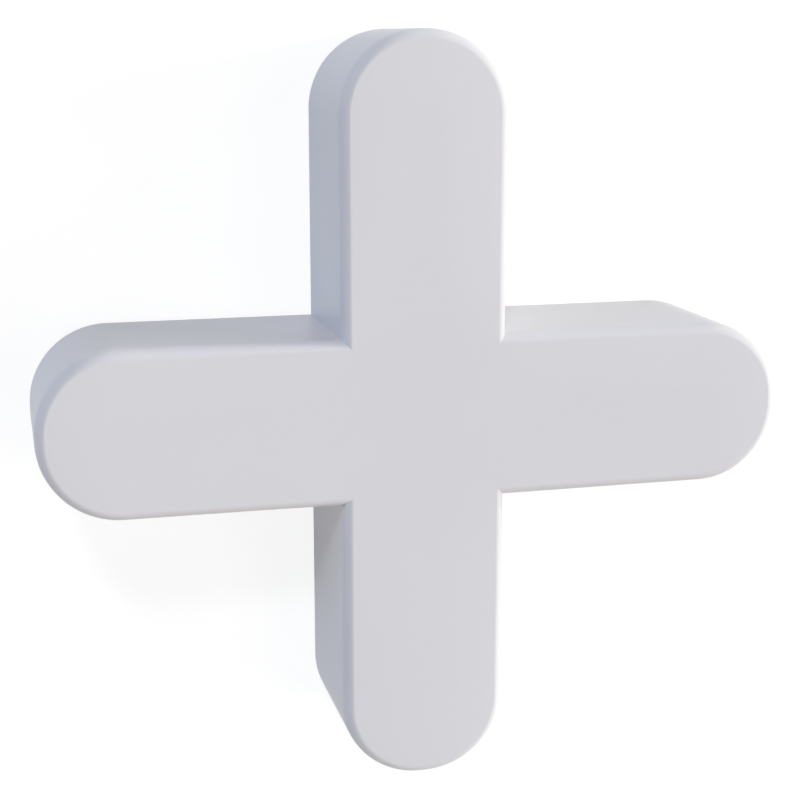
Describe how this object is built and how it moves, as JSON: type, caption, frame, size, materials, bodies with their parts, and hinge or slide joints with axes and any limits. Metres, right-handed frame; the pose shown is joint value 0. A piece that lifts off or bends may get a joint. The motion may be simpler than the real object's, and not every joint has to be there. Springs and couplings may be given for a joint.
{
  "type": "tile spacer",
  "caption": "Flat cross-shaped spacer with equal round-ended arms, straight parallel walls and rolled edges, which sets an even joint between tiles at their corners.",
  "frame": {"origin": "centre of the back face, the face that lies on the wall or floor", "axes": "+X and +Y along the arms, +Z out of the front face; in the picture +X points right and +Y up"},
  "size_m": [0.0272, 0.0272, 0.0062],
  "materials": {
    "white_plastic": "satin white, as moulded"
  },
  "bodies": {
    "root": {"spacer_body": "white_plastic"}
  },
  "joints": []
}
